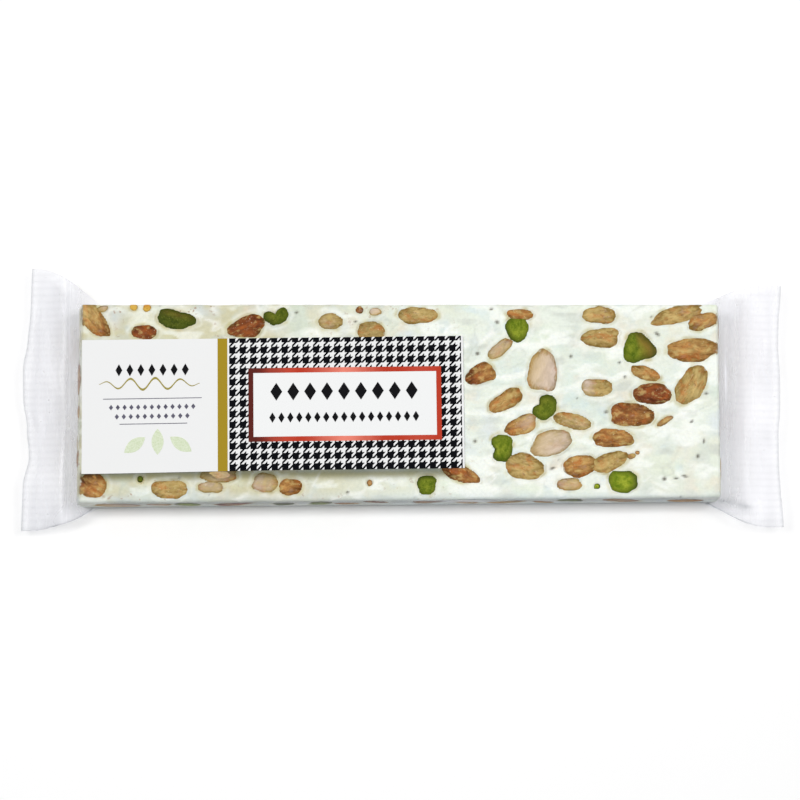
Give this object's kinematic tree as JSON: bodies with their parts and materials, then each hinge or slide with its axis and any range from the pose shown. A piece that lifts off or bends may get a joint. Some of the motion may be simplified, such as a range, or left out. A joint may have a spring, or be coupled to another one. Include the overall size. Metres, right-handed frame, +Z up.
{
  "type": "nougat bar in clear flow-wrap",
  "caption": "Flat bar of almond and pistachio nougat in a clear flow-wrap film with crimped end fins and a plain patterned paper label on top.",
  "frame": {"origin": "on the ground, under the middle of the whole wrapped pack", "axes": "+X along the bar from the labelled end to the bare end, +Y across it away from the front, +Z up out of the labelled face"},
  "size_m": [0.2636, 0.092, 0.017],
  "materials": {
    "film": "clear glossy film, faint lavender tint at the crimps",
    "nougat": "cream-white chewy sweet, cut surface with small pits and drag marks",
    "almond": "roasted almonds, wrinkled tan to reddish-brown skins, pale where cut",
    "pistachio": "pistachio kernels, dark rim and bright green cut faces",
    "label": "coated white paper with printed houndstooth, gold stripe and metallic red frame"
  },
  "bodies": {
    "root": {"film_pack": "film", "label": "label"}
  },
  "joints": []
}
